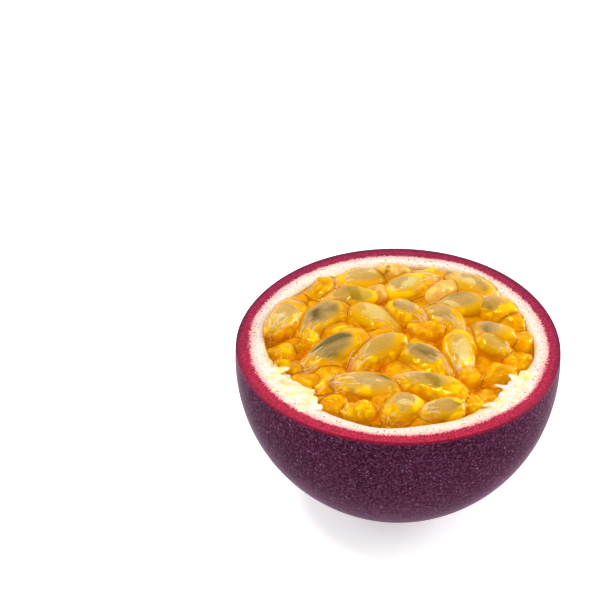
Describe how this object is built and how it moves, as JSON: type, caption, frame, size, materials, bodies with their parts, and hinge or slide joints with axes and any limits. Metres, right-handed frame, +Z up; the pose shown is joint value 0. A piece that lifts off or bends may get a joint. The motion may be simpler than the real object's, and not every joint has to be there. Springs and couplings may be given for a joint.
{
  "type": "passion fruit half",
  "caption": "Half a purple passion fruit, cut side up: a cup of purple rind and white pith filled to the cut with glossy yellow seed sacs.",
  "frame": {"origin": "centre of the small flat foot that the half rests on", "axes": "+Z up out of the cut face, -Y towards the viewer of the picture, +X to the viewer's right"},
  "size_m": [0.0521, 0.0517, 0.0321],
  "materials": {
    "rind": "satin, dark purple skin with fine pale flecks",
    "pulp": "wet, yellow to orange jelly",
    "pith": "matt, creamy white",
    "seed": "satin, olive brown"
  },
  "bodies": {
    "root": {"peel": "rind", "pulp": "pulp"}
  },
  "joints": []
}
